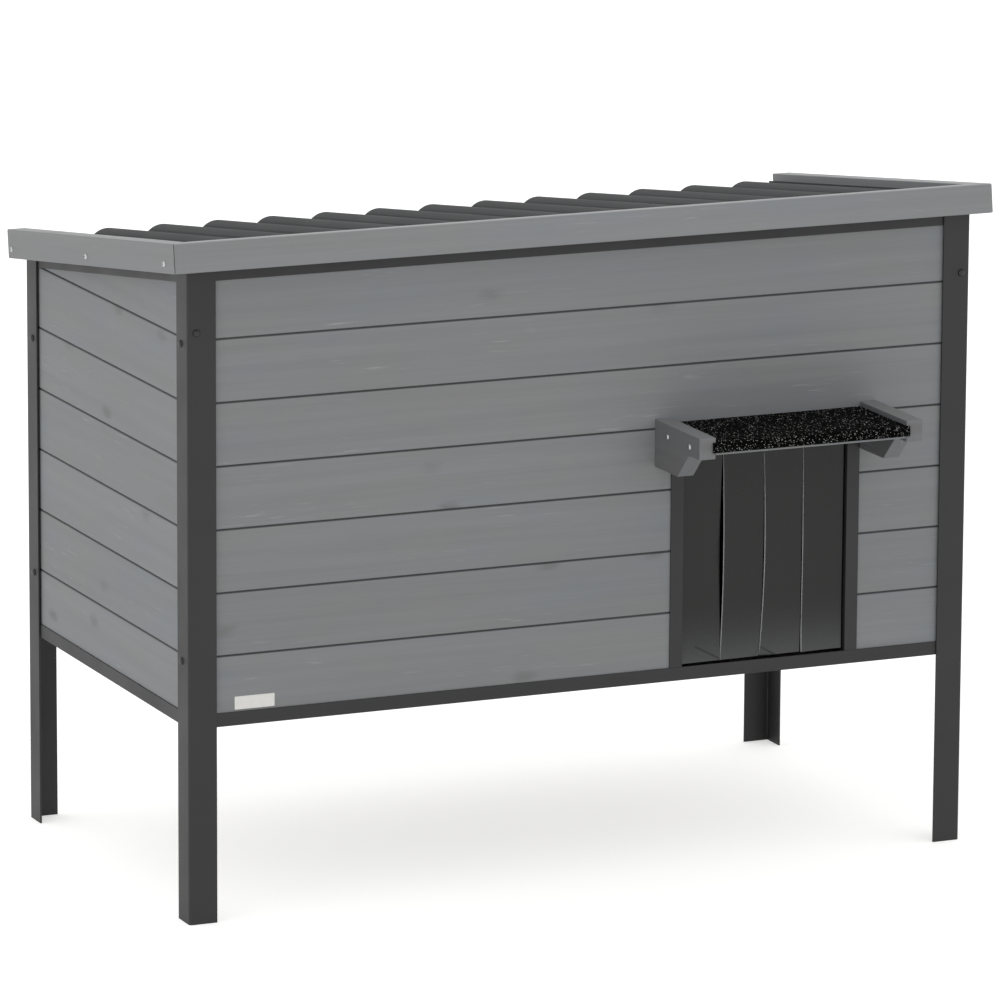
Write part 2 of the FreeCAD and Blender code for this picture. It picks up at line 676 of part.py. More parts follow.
def doorway_nodes():
    nodes = {}
    starts = curtain_screw_starts()
    length = RETURN_Y - LEG_T
    inward = Vector(0, -1, 0)
    holes = [hole(start, inward, SCREW_R, length) for start in starts]
    screws = [pan_bolt(p, inward, SCREW_R, length - RAIL_T / 2, SCREW_HEAD_R, SCREW_HEAD_H) for p in starts]
    nodes["door_jamb_right"] = door_jamb_right()
    nodes["door_jamb_left"] = across_door(door_jamb_right())
    nodes["door_head"] = drilled(door_head(), holes)
    nodes["curtain_clamp_bar"] = drilled(curtain_layer(FACE, FACE + CLAMP_T), holes)
    nodes["curtain_top_band"] = drilled(curtain_layer(FACE + CLAMP_T, FACE + CLAMP_T + STRIP_T), holes)
    nodes["curtain_header"] = drilled(curtain_layer(FACE + CLAMP_T + STRIP_T, RETURN_Y), holes)
    nodes["curtain_screws"] = group(screws)
    for index in range(STRIP_COUNT):
        nodes["door_strip_%d" % (index + 1)] = door_strip(index)
    return nodes


def awning_nodes():
    length = BRACKET_W + SCREW_BITE
    right = [pan_bolt(p, d, SCREW_R, length, SCREW_HEAD_R, SCREW_HEAD_H) for p, d in awning_screw_places()]
    return {
        "awning_bracket_right": awning_bracket_right(),
        "awning_bracket_left": across_door(awning_bracket_right()),
        "awning_board": awning_board(),
        "awning_felt": awning_felt(),
        "awning_screws": group(right + [across_door(screw) for screw in right]),
    }


def lid_nodes():
    length = FASCIA_T + SCREW_BITE
    left = [pan_bolt(p, d, SCREW_R, length, SCREW_HEAD_R, SCREW_HEAD_H) for p, d in fascia_screw_places()]
    stations = [place.y for place, direction in fascia_screw_places()]
    flat = {
        "fascia_front": fascia_front(),
        "fascia_left": fascia_left(),
        "fascia_right": mirrored(fascia_left()),
        "roof_sheet": roof_sheet(),
        "fascia_screws": group(left + [mirrored(screw) for screw in left]),
    }
    for name, station in zip(("front", "middle", "rear"), stations):
        flat["lid_batten_" + name] = lid_batten(station)
    nodes = {name: on_lid(shape) for name, shape in flat.items()}
    frame_leaf, lid_leaf, pin = hinge_parts()
    nodes["hinge_lid_leaves"] = group(at_hinges(lid_leaf, True))
    nodes["hinge_frame_leaves"] = group(at_hinges(frame_leaf, False))
    nodes["hinge_pins"] = group(at_hinges(pin, False))
    return nodes


NODES = {}
for build in (frame_nodes, wall_nodes, doorway_nodes, awning_nodes, lid_nodes):
    NODES.update(build())

# The origin is on the ground under the middle of the whole house, awning and lid included.
BOUNDS = Part.makeCompound(list(NODES.values())).optimalBoundingBox(False, False)
ORIGIN_Y = (BOUNDS.YMin + BOUNDS.YMax) / 2

os.makedirs("parts", exist_ok=True)
for name, shape in NODES.items():
    placed = shape.copy()
    placed.translate(Vector(0, -ORIGIN_Y, 0))
    placed.exportStep("parts/%s.step" % name)

print("nodes", len(NODES), "size %.1f x %.1f x %.1f" % (BOUNDS.XLength, BOUNDS.YLength, BOUNDS.ZLength))
print("front leg face at y %.3f" % -ORIGIN_Y)
print("lid hinge axis y %.3f z %.3f" % (HINGE_Y - ORIGIN_Y, HINGE_Z))
print("curtain axis y %.3f z %.3f" % (STRIP_Y - ORIGIN_Y, STRIP_PIVOT_Z))
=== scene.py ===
import json
import math

import bmesh
import bpy
from mathutils import Matrix, Vector


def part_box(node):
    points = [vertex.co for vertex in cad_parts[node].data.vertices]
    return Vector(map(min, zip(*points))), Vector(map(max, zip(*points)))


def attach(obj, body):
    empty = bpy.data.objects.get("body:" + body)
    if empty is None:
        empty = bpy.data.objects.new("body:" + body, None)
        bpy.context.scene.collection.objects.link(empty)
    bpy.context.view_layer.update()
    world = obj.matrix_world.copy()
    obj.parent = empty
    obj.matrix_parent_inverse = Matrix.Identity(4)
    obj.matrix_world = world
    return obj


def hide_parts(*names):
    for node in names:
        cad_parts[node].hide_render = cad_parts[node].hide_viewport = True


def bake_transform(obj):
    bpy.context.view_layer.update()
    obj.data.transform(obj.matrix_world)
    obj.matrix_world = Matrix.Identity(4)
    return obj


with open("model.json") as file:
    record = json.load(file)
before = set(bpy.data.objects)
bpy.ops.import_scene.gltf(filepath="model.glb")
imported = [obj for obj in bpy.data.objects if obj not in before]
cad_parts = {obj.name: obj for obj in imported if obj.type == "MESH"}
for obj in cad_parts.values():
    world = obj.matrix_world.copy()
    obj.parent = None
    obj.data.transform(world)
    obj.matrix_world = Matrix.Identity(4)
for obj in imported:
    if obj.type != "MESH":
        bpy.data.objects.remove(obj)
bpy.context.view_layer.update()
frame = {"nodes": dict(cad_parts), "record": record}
scene = bpy.context.scene

# Outdoor cat house, in metres: +X to the right of the front, +Y to the rear, +Z up
MM = 0.001
BOARD_Z = 207.5 * MM            # underside of the lowest boards
BOARD_PITCH = 64.0 * MM
CABIN_DEPTH = 456.0 * MM
STRIP_FOOT_Z = 216.0 * MM       # lower end of the curtain
ROOF_SLOPE = math.atan2(BOARD_PITCH, CABIN_DEPTH)
ROOF_UP = Vector((0.0, math.sin(ROOF_SLOPE), math.cos(ROOF_SLOPE)))     # square to the roof

# Which way the grain of a piece runs, as the turn of its own X axis
GRAIN_ACROSS = (0.0, 0.0, 0.0)
GRAIN_DEEP = (0.0, 0.0, math.radians(90))
GRAIN_DOWN_ROOF = (0.0, ROOF_SLOPE, math.radians(90))
GRAIN_UPRIGHT = (0.0, math.radians(-90), 0.0)

# Rounding of the edges of each kind of piece
STEEL_EASE = 0.35 * MM
BOARD_EASE = 0.4 * MM
TIMBER_EASE = 0.9 * MM
SHEET_EASE = 0.25 * MM
HINGE_EASE = 0.12 * MM
EASE_STEP = 0.1                 # more for every other board, so that no two edges coincide
EASE_FACETS = 2
MITRE_GAP = 0.18 * MM           # each fascia board stands this far short of its mitre

# What counts as what in a mesh
SHARP = math.radians(30)        # an edge that turns by more than this is rounded
CURVED = math.radians(20)       # an edge inside a curved face turns by less than this
FLAT = math.radians(1)          # faces that turn by less than this are one flat face
LIKE_AREAS = 4                  # facets of one curved face differ in area by less than this
WELD = 0.002 * MM               # points closer than this are one point
NEAR = 0.1 * MM                 # a point this near to an end or a face is on it
FACES_UP = 0.5                  # least Z of the normal of a top
FACES_SIDE = 0.7                # least X of the normal of a side
FACES_BOTH = 0.5                # least X and Y of the normal of a mitre


def mm(*lengths):
    """Lengths in millimetres, in metres."""
    return tuple(length * MM for length in lengths)


def srgb(code):
    """A hex colour as linear RGBA."""
    parts = [int(code[i:i + 2], 16) / 255 for i in (1, 3, 5)]
    linear = [p / 12.92 if p <= 0.04045 else ((p + 0.055) / 1.055) ** 2.4 for p in parts]
    return (*linear, 1.0)


# Materials

WHITE = (1.0, 1.0, 1.0, 1.0)


def feed(tree, node, inputs):
    """Sets inputs of a node; each is a number, a colour, another node or one of its outputs."""
    for key, value in inputs.items():
        if isinstance(value, bpy.types.Node):
            value = next(output for output in value.outputs if not output.is_unavailable)
        if isinstance(value, bpy.types.NodeSocket):
            tree.links.new(value, node.inputs[key])
        else:
            node.inputs[key].default_value = value


def add(tree, kind, inputs, **settings):
    """Adds a node with its settings and inputs."""
    made = tree.nodes.new("ShaderNode" + kind)
    for name, value in settings.items():
        setattr(made, name, value)
    feed(tree, made, inputs)
    return made


def new_material(name):
    """A material with its node tree and its Principled shader."""
    material = bpy.data.materials.new(name)
    material.use_nodes = True
    return material, material.node_tree, material.node_tree.nodes["Principled BSDF"]


# Size along, through and across the grain and detail of each layer in the figure of fir
FIR_LAYERS = {
    "grain": (mm(140.0, 2.2, 2.2), 4.0),
    "bands": (mm(400.0, 11.0, 11.0), 2.0),
    "patches": (mm(110.0, 40.0, 34.0), 2.0),
    "streaks": (mm(34.0, 3.4, 2.4), 1.0),
    "clusters": (mm(120.0, 30.0, 30.0), 1.0),
}
FIR_SHIFT = (6.0, 0.3, 0.7)     # how far chance may move the figure from board to board


def knots(tree, figure):
    """Faint knots about 20 mm long and 11 mm high with a ragged outline, in a few of the cells of
    115 x 60 mm."""
    ragged = add(tree, "Mapping", {"Vector": figure, "Scale": mm(22.0, 22.0, 7.0)},
                 vector_type="TEXTURE")
    wander = add(tree, "TexNoise", {"Vector": ragged, "Scale": 1.0, "Detail": 3.0}).outputs["Color"]
    torn = add(tree, "VectorMath", {0: wander, 1: mm(16.0, 0.0, 9.0), 2: figure},
               operation="MULTIPLY_ADD")
    parts = add(tree, "SeparateXYZ", {"Vector": torn}).outputs
    face = add(tree, "CombineXYZ", {"X": parts["X"], "Y": parts["Z"]})
    cells = add(tree, "Mapping", {"Vector": face, "Scale": mm(115.0, 60.0, 1000.0)},
                vector_type="TEXTURE")
    spots = add(tree, "TexVoronoi", {"Vector": cells, "Scale": 1.0}, voronoi_dimensions="2D")
    core = add(tree, "MapRange", {"Value": spots.outputs["Distance"], "From Min": 0.01,
                                  "From Max": 0.17, "To Min": 1.0, "To Max": 0.0},
               interpolation_type="SMOOTHSTEP")
    pick = add(tree, "SeparateColor", {"Color": spots.outputs["Color"]}).outputs["Red"]
    kept = add(tree, "MapRange", {"Value": pick, "From Min": 0.76, "From Max": 1.0})
    return add(tree, "Math", {0: core, 1: kept}, operation="MULTIPLY")


def stained_fir(name, turn, draw, cool="#878a8e", warm="#898a8a", rough=(0.60, 0.76), gloss=0.35,
                jointed=False):
    """Planed fir under a thin grey stain: faint grain along the piece, barely cooler and warmer
    patches, a soft brownish knot now and then and a few short pale streaks. On jointed walls the
    stain is dark in the V joints, and every board has its own figure."""
    material, tree, shader = new_material(name)
    place = add(tree, "TexCoord", {}).outputs["Object"]
    along = add(tree, "Mapping", {"Vector": place, "Rotation": turn}, vector_type="TEXTURE")
    level = draw
    if jointed:
        height = add(tree, "SeparateXYZ", {"Vector": place}).outputs["Z"]
        risen = add(tree, "Math", {0: height, 1: BOARD_Z}, operation="SUBTRACT")
        share = add(tree, "Math", {0: risen, 1: BOARD_PITCH}, operation="DIVIDE")
        board = add(tree, "Math", {0: share}, operation="FLOOR")
        level = add(tree, "Math", {0: board, 1: draw}, operation="ADD")
    chance = add(tree, "TexWhiteNoise", {"W": level}, noise_dimensions="1D")
    shift = add(tree, "VectorMath", {0: chance.outputs["Color"], 1: FIR_SHIFT},
                operation="MULTIPLY")
    figure = add(tree, "VectorMath", {0: along, 1: shift}, operation="ADD")

    # The grain flows round the knots
    knot = knots(tree, figure)
    flow = add(tree, "VectorMath", {0: knot, 1: mm(0.0, 0.0, 6.0), 2: figure},
               operation="MULTIPLY_ADD")
    layers = {}
    for layer, (size, detail) in FIR_LAYERS.items():
        spaced = add(tree, "Mapping", {"Vector": flow, "Scale": size}, vector_type="TEXTURE")
        layers[layer] = add(tree, "TexNoise", {"Vector": spaced, "Scale": 1.0, "Detail": detail})

    # The stain, lighter and darker along the grain and from board to board
    patch = add(tree, "MapRange", {"Value": layers["patches"], "From Min": 0.32, "From Max": 0.68})
    base = add(tree, "Mix", {"Factor": patch, "A": srgb(cool), "B": srgb(warm)}, data_type="RGBA")
    fine = add(tree, "MapRange", {"Value": layers["grain"], "From Min": 0.25, "From Max": 0.75,
                                  "To Min": 0.96, "To Max": 1.04})
    broad = add(tree, "MapRange", {"Value": layers["bands"], "From Min": 0.25, "From Max": 0.75,
                                   "To Min": 0.95, "To Max": 1.05})
    tone = add(tree, "MapRange", {"Value": chance, "To Min": 0.975, "To Max": 1.025})
    shade = add(tree, "Math", {0: fine, 1: broad}, operation="MULTIPLY")
    shade = add(tree, "Math", {0: shade, 1: tone}, operation="MULTIPLY")
    colour = add(tree, "VectorMath", {0: base, "Scale": shade}, operation="SCALE")

    # Pale streaks in clusters, brown knots and dark joints
    streak = add(tree, "MapRange", {"Value": layers["streaks"], "From Min": 0.64, "From Max": 0.82,
                                    "To Min": 0.0, "To Max": 0.34})
    where = add(tree, "MapRange", {"Value": layers["clusters"], "From Min": 0.52, "From Max": 0.66})
    pale = add(tree, "Math", {0: streak, 1: where}, operation="MULTIPLY")
    colour = add(tree, "Mix", {"Factor": pale, "A": colour, "B": srgb("#bcbebe")},
                 data_type="RGBA")
    brown = add(tree, "Math", {0: knot, 1: 0.42}, operation="MULTIPLY")
    colour = add(tree, "Mix", {"Factor": brown, "A": colour, "B": srgb("#5c5352")},
                 data_type="RGBA")
    if jointed:
        near = add(tree, "Math", {0: risen, 1: BOARD_PITCH / 2}, operation="PINGPONG")
        joint = add(tree, "MapRange", {"Value": near, "From Min": 0.8 * MM, "From Max": 1.4 * MM,
                                       "To Min": 0.72, "To Max": 0.0})
        colour = add(tree, "Mix", {"Factor": joint, "A": colour, "B": srgb("#2c2d30")},
                     data_type="RGBA")

    sheen = add(tree, "MapRange", {"Value": layers["grain"], "From Min": 0.25, "From Max": 0.75,
                                   "To Min": rough[0], "To Max": rough[1]})
    relief = add(tree, "Bump", {"Height": layers["grain"], "Strength": 0.30, "Distance": 0.3 * MM})
    feed(tree, shader, {"Base Color": colour, "Roughness": sheen, "Normal": relief,
                        "Specular IOR Level": gloss})
    return material


def coated_steel(name, dark, light, rough):
    """Steel with a thin dark finish, a satin powder coat on the frame and black oxide on the bolts:
    even colour with a slight orange peel, which breaks up the gloss. The peel is drawn 2.5 mm wide
    so that it shows."""
    material, tree, shader = new_material(name)
    place = add(tree, "TexCoord", {}).outputs["Object"]
    cloud = add(tree, "TexNoise", {"Vector": place, "Scale": 1 / (60.0 * MM), "Detail": 3.0})
    peel = add(tree, "TexNoise", {"Vector": place, "Scale": 1 / (2.5 * MM), "Detail": 1.0})
    colour = add(tree, "Mix", {"Factor": cloud, "A": srgb(dark), "B": srgb(light)},
                 data_type="RGBA")
    gloss = add(tree, "MapRange", {"Value": cloud, "From Min": 0.3, "From Max": 0.7,
                                   "To Min": rough - 0.04, "To Max": rough + 0.05})
    relief = add(tree, "Bump", {"Height": peel, "Strength": 0.10, "Distance": 0.1 * MM})
    feed(tree, shader, {"Base Color": colour, "Roughness": gloss, "Normal": relief, "IOR": 1.5})
    return material


def zinc_plated_steel():
    """Bright zinc on pressed steel: pale, slightly bluish metal with the mottle of its crystals,
    which are drawn 1.2 mm wide so that they show."""
    material, tree, shader = new_material("zinc_plated_steel")
    place = add(tree, "TexCoord", {}).outputs["Object"]
    crystals = add(tree, "TexVoronoi", {"Vector": place, "Scale": 1 / (1.2 * MM)}).outputs["Color"]
    grey = add(tree, "RGBToBW", {"Color": crystals})
    colour = add(tree, "Mix", {"Factor": grey, "A": srgb("#a3a7ab"), "B": srgb("#c6c8c9")},
                 data_type="RGBA")
    gloss = add(tree, "MapRange", {"Value": grey, "To Min": 0.26, "To Max": 0.40})
    feed(tree, shader, {"Base Color": colour, "Roughness": gloss, "Metallic": 1.0})
    return material


def corrugated_pvc(name, crest=None):
    """Pressed matt PVC sheet, through-coloured dark grey: soft gloss along the crests, with faint
    long drawing marks in the direction it came off the press and a little dust in patches; given a
    crest, its top faces get painted shade low between the crests, where the valleys lie in shade."""
    material, tree, shader = new_material(name)
    place = add(tree, "TexCoord", {}).outputs["Object"]
    drawn = add(tree, "Mapping", {"Vector": place, "Rotation": GRAIN_DOWN_ROOF,
                                  "Scale": mm(300.0, 3.0, 3.0)}, vector_type="TEXTURE")
    marks = add(tree, "TexNoise", {"Vector": drawn, "Scale": 1.0, "Detail": 3.0})
    dust = add(tree, "TexNoise", {"Vector": place, "Scale": 1 / (90.0 * MM), "Detail": 4.0})
    both = add(tree, "Math", {0: marks, 1: dust}, operation="ADD")
    share = add(tree, "MapRange", {"Value": both, "From Min": 0.7, "From Max": 1.3})
    colour = add(tree, "Mix", {"Factor": share, "A": srgb("#444546"), "B": srgb("#4c4d4e")},
                 data_type="RGBA")
    if crest:
        # painted shade: the top faces darken low between the crests, where the valleys lie in shade
        level = add(tree, "VectorMath", {0: place, 1: ROOF_UP}, operation="DOT_PRODUCT")
        valley_shade = add(tree, "MapRange", {"Value": level, "From Min": crest - 4.8 * MM,
                                       "From Max": crest - 4.0 * MM, "To Min": 0.35, "To Max": 0.0})
        colour = add(tree, "Mix", {"Factor": valley_shade, "A": colour, "B": srgb("#232324")},
                     data_type="RGBA")
    gloss = add(tree, "MapRange", {"Value": dust, "From Min": 0.3, "From Max": 0.7,
                                   "To Min": 0.66, "To Max": 0.78})
    relief = add(tree, "Bump", {"Height": marks, "Strength": 0.12, "Distance": 0.1 * MM})
    feed(tree, shader, {"Base Color": colour, "Roughness": gloss, "Normal": relief,
                        "Specular IOR Level": 0.12})
    return material


def mineral_felt():
    """Bitumen felt pressed full of crushed slate: black, rough, with pale flakes. The rollers lay
    the flakes along the run of the sheet; they are drawn 0.75 mm wide and 2 mm long, and about one
    in twelve is pale."""
    material, tree, shader = new_material("mineral_felt")
    place = add(tree, "TexCoord", {}).outputs["Object"]
    wobble = add(tree, "TexNoise", {"Vector": place, "Scale": 1 / (0.7 * MM), "Detail": 1.0})
    bent = add(tree, "VectorMath", {0: wobble.outputs["Color"], 1: mm(0.4, 0.4, 0.4), 2: place},
               operation="MULTIPLY_ADD")
    laid = add(tree, "Mapping", {"Vector": bent, "Scale": mm(0.75, 2.0, 0.75)},
               vector_type="TEXTURE")
    flakes = add(tree, "TexVoronoi", {"Vector": laid, "Scale": 1.0}).outputs
    chance = add(tree, "RGBToBW", {"Color": flakes["Color"]})
    tones = add(tree, "ValToRGB", {"Fac": chance})
    stops = ((0.0, "#050505"), (0.65, "#070707"), (0.77, "#0e0e0e"), (0.835, "#7c7c7a"),
             (0.895, "#ecece8"))
    while len(tones.color_ramp.elements) < len(stops):
        tones.color_ramp.elements.new(1.0)
    for element, (position, code) in zip(tones.color_ramp.elements, stops):
        element.position = position
        element.color = srgb(code)
    core = add(tree, "MapRange", {"Value": flakes["Distance"], "From Min": 0.25, "From Max": 0.55,
                                  "To Min": 1.0, "To Max": 0.15})
    colour = add(tree, "Mix", {"Factor": core, "A": srgb("#050505"), "B": tones}, data_type="RGBA")
    relief = add(tree, "Bump", {"Height": core, "Strength": 0.8, "Distance": 0.4 * MM})
    feed(tree, shader, {"Base Color": colour, "Normal": relief, "Roughness": 0.9,
                        "Specular IOR Level": 0.03})
    return material


def smoky_pvc():
    """Soft PVC strip, tinted almost black: a smooth calendered skin with slow ripples in its gloss,
    with painted light that makes the lowest 65 mm paler towards the foot, and painted shade, duller
    in its gloss, along its creases."""
    material, tree, shader = new_material("smoky_pvc")
    place = add(tree, "TexCoord", {}).outputs["Object"]
    ripple = add(tree, "Mapping", {"Vector": place, "Scale": mm(12.0, 12.0, 70.0)},
                 vector_type="TEXTURE")
    slow = add(tree, "TexNoise", {"Vector": ripple, "Scale": 1.0, "Detail": 2.0})
    haze = add(tree, "TexNoise", {"Vector": place, "Scale": 1 / (18.0 * MM), "Detail": 3.0})
    colour = add(tree, "Mix", {"Factor": haze, "A": srgb("#131313"), "B": srgb("#1a1a1a")},
                 data_type="RGBA")
    # painted light: the lowest 65 mm of each strip turn paler towards the foot
    height = add(tree, "SeparateXYZ", {"Vector": place}).outputs["Z"]
    low_down = add(tree, "MapRange", {"Value": height, "From Min": STRIP_FOOT_Z + 65.0 * MM,
                                      "From Max": STRIP_FOOT_Z})
    painted_light_foot = add(tree, "Math", {0: low_down, 1: 2.0}, operation="POWER")
    colour = add(tree, "Mix", {"Factor": painted_light_foot, "A": colour, "B": srgb("#48494a")},
                 data_type="RGBA")
    # painted shade: the strips darken, and their gloss dulls, along their creases
    crease_shade = add(tree, "Attribute", {}, attribute_name="crease").outputs["Fac"]
    colour = add(tree, "Mix", {"Factor": crease_shade, "A": colour, "B": srgb("#060606")},
                 data_type="RGBA")
    gloss = add(tree, "MapRange", {"Value": haze, "From Min": 0.3, "From Max": 0.7,
                                   "To Min": 0.22, "To Max": 0.34})
    dulled = add(tree, "Math", {0: crease_shade, 1: 0.6, 2: gloss}, operation="MULTIPLY_ADD")
    relief = add(tree, "Bump", {"Height": slow, "Strength": 0.25, "Distance": 0.5 * MM})
    feed(tree, shader, {"Base Color": colour, "Roughness": dulled, "Normal": relief,
                        "Specular IOR Level": 0.33})
    return material


def pvc_cut_edge():
    """Knife-cut edge of the strip: light that runs inside the sheet comes out here, so it looks
    pale."""
    material, tree, shader = new_material("pvc_cut_edge")
    place = add(tree, "TexCoord", {}).outputs["Object"]
    knife = add(tree, "Mapping", {"Vector": place, "Scale": mm(4.0, 0.6, 22.0)},
                vector_type="TEXTURE")
    marks = add(tree, "TexNoise", {"Vector": knife, "Scale": 1.0, "Detail": 2.0})
    colour = add(tree, "Mix", {"Factor": marks, "A": srgb("#9fa2a3"), "B": srgb("#e6e8e8")},
                 data_type="RGBA")
    feed(tree, shader, {"Base Color": colour, "Roughness": 0.35})
    return material


def washed_plywood():
    """Rotary-cut plywood under a thin grey wash: dull brown-grey with a wide wavy figure."""
    material, tree, shader = new_material("washed_plywood")
    place = add(tree, "TexCoord", {}).outputs["Object"]
    sheet = add(tree, "Mapping", {"Vector": place, "Scale": mm(350.0, 14.0, 14.0)},
                vector_type="TEXTURE")
    figure = add(tree, "TexNoise", {"Vector": sheet, "Scale": 1.0, "Detail": 5.0,
                                    "Distortion": 0.6})
    share = add(tree, "MapRange", {"Value": figure, "From Min": 0.3, "From Max": 0.7})
    colour = add(tree, "Mix", {"Factor": share, "A": srgb("#716d66"), "B": srgb("#87827a")},
                 data_type="RGBA")
    relief = add(tree, "Bump", {"Height": figure, "Strength": 0.2, "Distance": 0.2 * MM})
    feed(tree, shader, {"Base Color": colour, "Normal": relief, "Roughness": 0.7})
    return material


def enamelled_plate():
    """Thin stamped plate in off-white enamel: smooth, with a barely uneven coat."""
    material, tree, shader = new_material("enamelled_plate")
    place = add(tree, "TexCoord", {}).outputs["Object"]
    coat = add(tree, "TexNoise", {"Vector": place, "Scale": 1 / (6.0 * MM), "Detail": 2.0})
    colour = add(tree, "Mix", {"Factor": coat, "A": srgb("#e4e3df"), "B": srgb("#f0efec")},
                 data_type="RGBA")
    gloss = add(tree, "MapRange", {"Value": coat, "From Min": 0.3, "From Max": 0.7,
                                   "To Min": 0.30, "To Max": 0.42})
    feed(tree, shader, {"Base Color": colour, "Roughness": gloss})
    return material


FRAME_STEEL = coated_steel("powder_coated_steel", "#1f1f20", "#252526", 0.55)
BOLT_STEEL = coated_steel("black_oxide_steel", "#1a1a1b", "#232324", 0.38)
ZINC = zinc_plated_steel()
CREST = max(ROOF_UP.dot(vert.co) for vert in frame["nodes"]["roof_sheet"].data.vertices)
ROOF_PVC = corrugated_pvc("corrugated_pvc_under")
# the top faces of the sheet, with painted shade low between the crests
ROOF_TOP_PVC = corrugated_pvc("corrugated_pvc_top_painted_valley_shade", CREST)
FELT = mineral_felt()
PVC = smoky_pvc()
PVC_EDGE = pvc_cut_edge()
PLYWOOD = washed_plywood()
ENAMEL = enamelled_plate()

# Fir, each with its own draw of the figure; the stain of the fascias is a little glossier
GLOSSIER = {"rough": (0.44, 0.56), "gloss": 0.5}
FRONT_FIR = stained_fir("stained_fir_front", GRAIN_ACROSS, 3.0, jointed=True)
REAR_FIR = stained_fir("stained_fir_rear", GRAIN_ACROSS, 41.0, jointed=True)
LEFT_FIR = stained_fir("stained_fir_left", GRAIN_DEEP, 17.0, jointed=True)
RIGHT_FIR = stained_fir("stained_fir_right", GRAIN_DEEP, 29.0, jointed=True)
FASCIA_FIR = stained_fir("stained_fir_fascia_front", GRAIN_ACROSS, 53.0, "#888b8f", "#8a8b8b",
                         **GLOSSIER)
# painted light: the top of the front fascia is a lighter copy of its stain, as if lit from above
FASCIA_LIT_TOP_FIR = stained_fir("stained_fir_fascia_front_painted_light_top", GRAIN_ACROSS, 57.0, "#989b9e",
                             "#9a9b9b", **GLOSSIER)
FASCIA_SIDE_FIR = stained_fir("stained_fir_fascia_sides", GRAIN_DOWN_ROOF, 59.0, "#777a7d",
                              "#797a7a", **GLOSSIER)
# painted light: the tops of the side fascias are a lighter copy of their stain, as if lit from
# above
FASCIA_SIDE_LIT_TOP_FIR = stained_fir("stained_fir_fascia_side_painted_light_tops", GRAIN_DOWN_ROOF, 61.0, "#8c8f92",
                                  "#8e8f8f", **GLOSSIER)
BATTEN_FIR = stained_fir("stained_fir_battens", GRAIN_ACROSS, 67.0)
POST_FIR = stained_fir("stained_fir_posts", GRAIN_UPRIGHT, 71.0)
AWNING_FIR = stained_fir("stained_fir_awning", GRAIN_ACROSS, 73.0)
BRACKET_FIR = stained_fir("stained_fir_brackets", GRAIN_DEEP, 79.0, "#7b7d80", "#7d7d7d")
# painted shade: the sides of the brackets, which face the wall, are a darker copy of their stain
BRACKET_SHADED_SIDE_FIR = stained_fir("stained_fir_bracket_painted_shade_sides", GRAIN_DEEP, 83.0, "#66686b", "#686868")


# Pieces

BODY_OF = {node: body for body, nodes in frame["record"]["behaviour"]["bodies"].items()
           for node in nodes}


def placed(name, mesh, materials):
    """An object of a finished mesh, which already stands at its place."""
    data = bpy.data.meshes.new(name)
    mesh.to_mesh(data)
    mesh.free()
    for material in materials:
        data.materials.append(material)
    thing = bpy.data.objects.new(name, data)
    scene.collection.objects.link(thing)
    return thing


def piece(name, mesh, materials, body, stands_for):
    """A finished piece of the house, riding on its body in place of CAD nodes."""
    thing = placed(name, mesh, materials)
    if body:
        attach(thing, body)
    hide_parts(*stands_for)
    return thing


def solids(node):
    """Joined-up copies of the separate solids of a CAD node, with their flat faces whole. The faces
    of a CAD node come solid by solid, so a solid is complete where no side of its faces is open."""
    data = frame["nodes"][node].data
    owner, count, open_sides = [], 0, set()
    for face in data.polygons:
        points = [tuple(data.vertices[i].co) for i in face.vertices]
        open_sides ^= {frozenset(side) for side in zip(points, points[1:] + points[:1])}
        owner.append(count)
        count += not open_sides
    found = []
    for number in range(count):
        mesh = bmesh.new()
        mesh.from_mesh(data)
        for layer in list(mesh.loops.layers.uv):
            mesh.loops.layers.uv.remove(layer)
        others = [face for face in mesh.faces if owner[face.index] != number]
        bmesh.ops.delete(mesh, geom=others, context="FACES")
        bmesh.ops.remove_doubles(mesh, verts=mesh.verts, dist=WELD)
        bmesh.ops.dissolve_limit(mesh, angle_limit=FLAT, verts=mesh.verts, edges=mesh.edges)
        found.append(mesh)
    return found


def together(meshes):
    """Several meshes as one, side by side."""
    whole = bmesh.new()
    for mesh in meshes:
        copy = bpy.data.meshes.new("one_of_several")
        mesh.to_mesh(copy)
        mesh.free()
        whole.from_mesh(copy)
        bpy.data.meshes.remove(copy)
    return whole


def round_off(mesh, edges, radius, facets=EASE_FACETS):
    """Rounds edges of a mesh and tells which faces that made."""
    made = bmesh.ops.bevel(mesh, geom=edges, offset=radius, offset_type="OFFSET", affect="EDGES",
                           segments=facets, profile=0.5, material=-1, clamp_overlap=True)
    return set(made["faces"])


def shaded(mesh, rounded=()):
    """Smooth shading inside curved faces and along rounded edges, crisp where one meets another."""
    for face in mesh.faces:
        face.smooth = True
        face.material_index = 0
    for edge in mesh.edges:
        areas = sorted(face.calc_area() for face in edge.link_faces)
        like = len(areas) == 2 and areas[1] < LIKE_AREAS * areas[0]
        same = len({face in rounded for face in edge.link_faces}) == 1
        edge.smooth = like and same and edge.calc_face_angle() < CURVED


def hollows(mesh):
    """Edges round the walls of bores and grooves, which the tool leaves sharp."""
    inner = {edge for edge in mesh.edges if not edge.is_convex and edge.calc_face_angle() > SHARP}
    return {edge for face in mesh.faces if len(inner.intersection(face.edges)) > 1
            for edge in face.edges}


